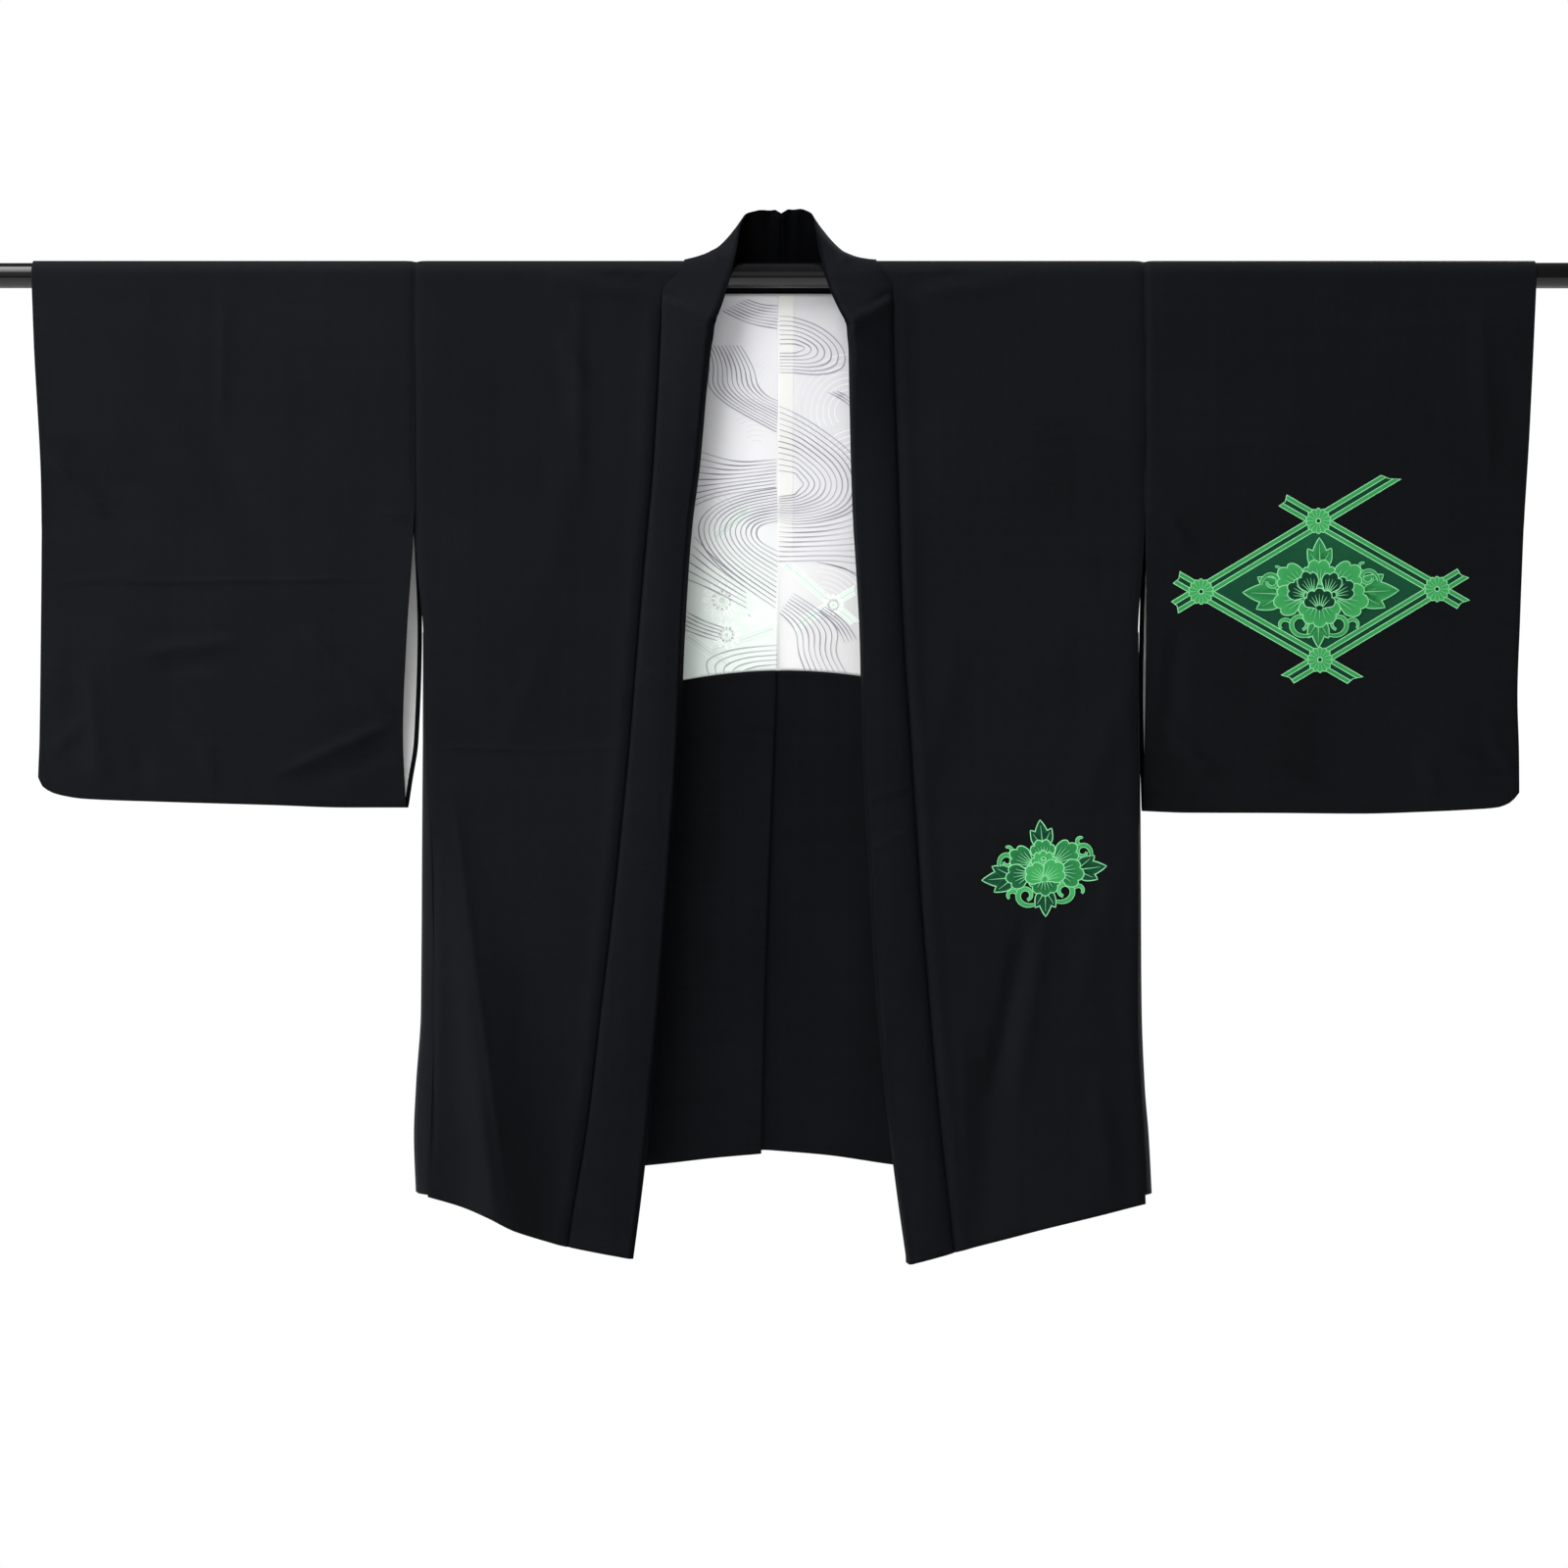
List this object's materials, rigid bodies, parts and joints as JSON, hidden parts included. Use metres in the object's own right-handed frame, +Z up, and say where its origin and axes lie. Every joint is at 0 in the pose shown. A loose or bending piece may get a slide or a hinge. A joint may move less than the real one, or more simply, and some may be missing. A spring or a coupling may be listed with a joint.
{
  "type": "haori jacket on a hanging rod",
  "caption": "Open-fronted haori jacket with square bag sleeves and a long collar band, hung flat on a round rod through its sleeves.",
  "frame": {"origin": "on the rod's axis at its middle, where the rod is held", "axes": "+Z up, -Y out of the jacket's open front, +X to the wearer's left along the rod"},
  "size_m": [1.4, 0.0653, 0.9154],
  "materials": {
    "outer_cloth": "matt blue-black plain-weave silk with a fine crepe grain",
    "collar_cloth": "the same matt blue-black silk, doubled and pressed",
    "lining_cloth": "smooth pale grey-white silk with a flowing-water line pattern and a faint sheen",
    "facing_cloth": "matt blue-black silk turned up from the hem",
    "rod_metal": "gloss black paint on a round steel tube"
  },
  "bodies": {
    "root": {"rod": "rod_metal", "body_right": "outer_cloth", "body_left": "outer_cloth", "sleeve_right": "outer_cloth", "sleeve_left": "outer_cloth", "gusset_right": "outer_cloth", "gusset_left": "outer_cloth", "collar_right": "collar_cloth", "collar_left": "collar_cloth", "back_lining_right": "lining_cloth", "back_lining_left": "lining_cloth", "back_facing_right": "facing_cloth", "back_facing_left": "facing_cloth", "sleeve_lining_right": "lining_cloth", "sleeve_lining_left": "lining_cloth"}
  },
  "joints": []
}
